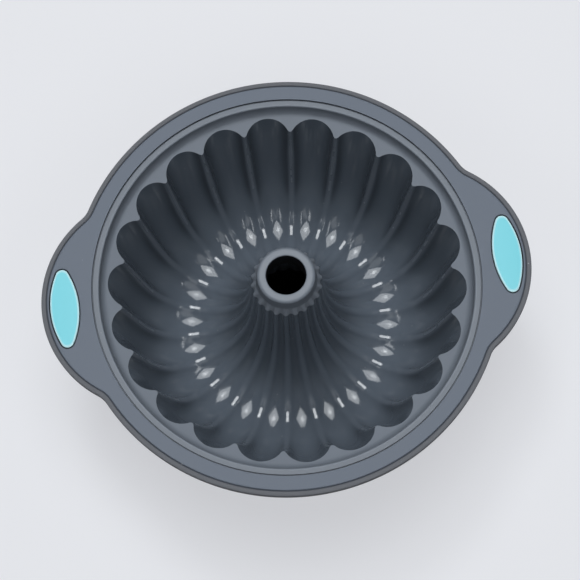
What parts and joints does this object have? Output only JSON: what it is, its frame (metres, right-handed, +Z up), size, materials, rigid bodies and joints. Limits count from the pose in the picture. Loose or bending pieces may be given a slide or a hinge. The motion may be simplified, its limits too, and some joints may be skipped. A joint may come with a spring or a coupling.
{
  "type": "fluted tube pan",
  "caption": "Soft ring-cake mould with a fluted cavity round a hollow centre tube, a flat rim stiffened by a steel hoop, and an ear with a coloured grip on each side.",
  "frame": {"origin": "on the axis of the centre tube, at the height of the surface that the pan stands on", "axes": "+Z up along the centre tube, +X through the right ear, the two ears along X"},
  "size_m": [0.296, 0.259, 0.1166],
  "materials": {
    "cavity_silicone": "satin grey silicone, smoother inside the flutes",
    "rim_silicone": "matte grey silicone",
    "hoop_steel": "drawn wire",
    "grip_silicone": "satin teal silicone"
  },
  "bodies": {
    "root": {"fluted_shell": "cavity_silicone", "rim_flange": "rim_silicone", "rim_hoop": "hoop_steel", "grip_insert_left": "grip_silicone", "grip_insert_right": "grip_silicone"}
  },
  "joints": []
}
